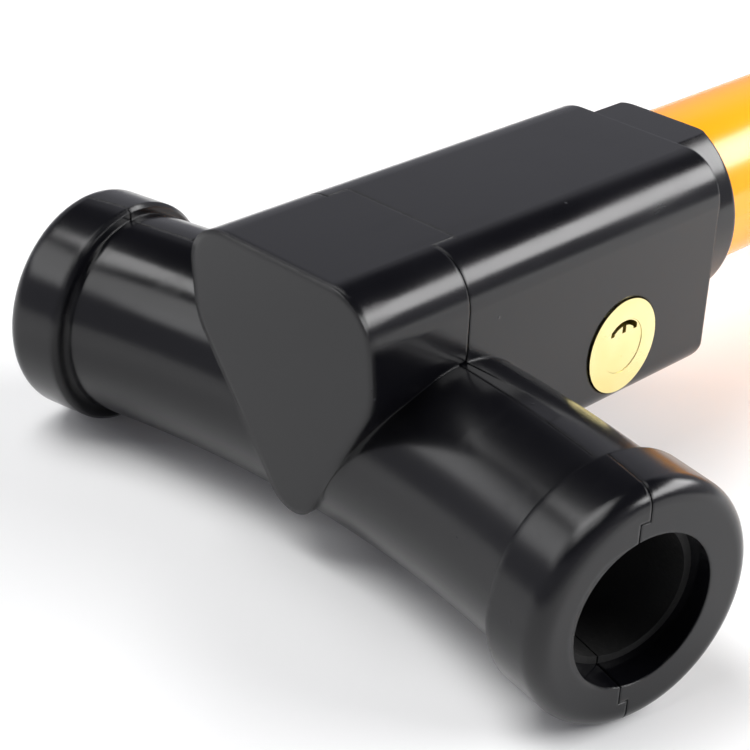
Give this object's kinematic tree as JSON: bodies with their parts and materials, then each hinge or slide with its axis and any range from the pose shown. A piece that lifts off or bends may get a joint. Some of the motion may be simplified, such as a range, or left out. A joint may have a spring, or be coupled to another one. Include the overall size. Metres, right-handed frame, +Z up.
{
  "type": "steering wheel lock",
  "caption": "T-shaped lock that closes round a steering wheel rim, with a sliding front jaw, a brass key cylinder and a long coloured handle",
  "frame": {"origin": "the middle of the curved passage that closes round the steering wheel rim", "axes": "+X along the rim passage, +Y along the handle away from the front face, +Z up from the passage to the handle's side"},
  "size_m": [0.1616, 0.466, 0.0655],
  "materials": {
    "cast_black": "satin black coating on cast metal",
    "liner_rubber": "rough moulded rubber",
    "shank_steel": "bright turned steel",
    "screw_steel": "dark hardened steel",
    "bush_brass": "sintered bearing bronze",
    "key_brass": "pale polished brass",
    "pin_copper": "copper-coloured tumbler pins",
    "spring_steel": "spring wire",
    "sleeve_yellow": "glossy orange-yellow",
    "cap_black": "black moulded plastic"
  },
  "bodies": {
    "body": {"rear_body": "cast_black", "rear_liner": "liner_rubber", "front_bush": "bush_brass", "rear_bush": "bush_brass", "bolt_spring": "spring_steel", "bolt_cover": "screw_steel", "lock_cylinder": "key_brass", "driver_pins": "pin_copper", "pin_springs": "spring_steel", "cylinder_screw": "screw_steel", "end_collar": "cast_black", "core_tube": "shank_steel", "handle_screws": "screw_steel", "handle_sleeve": "sleeve_yellow", "end_cap": "cap_black"},
    "jaw": {"front_jaw": "cast_black", "front_liner": "liner_rubber", "jaw_shank": "shank_steel", "shank_pins": "screw_steel", "stop_ring": "shank_steel", "stop_screw": "screw_steel"},
    "plug": {"key_plug": "key_brass", "key_pins": "pin_copper", "plug_clip": "spring_steel", "plug_cam": "shank_steel"},
    "bolt": {"locking_bolt": "shank_steel"}
  },
  "joints": [
    {"name": "jaw_slide", "type": "slide", "parent": "body", "child": "jaw", "axis": [0, -1, 0], "range_m": [0, 0.036]},
    {"name": "key_turn", "type": "hinge", "parent": "body", "child": "plug", "pos_m": [0.0244, 0.046, 0.0092], "axis": [1, 0, 0], "range_deg": [0, 90]},
    {"name": "bolt_lift", "type": "slide", "parent": "body", "child": "bolt", "axis": [0, 0, 1], "range_m": [0, 0.00283]}
  ],
  "couplings": [
    {"joint": "key_turn", "follows": "bolt_lift", "rad_per_m": 555.36}
  ]
}
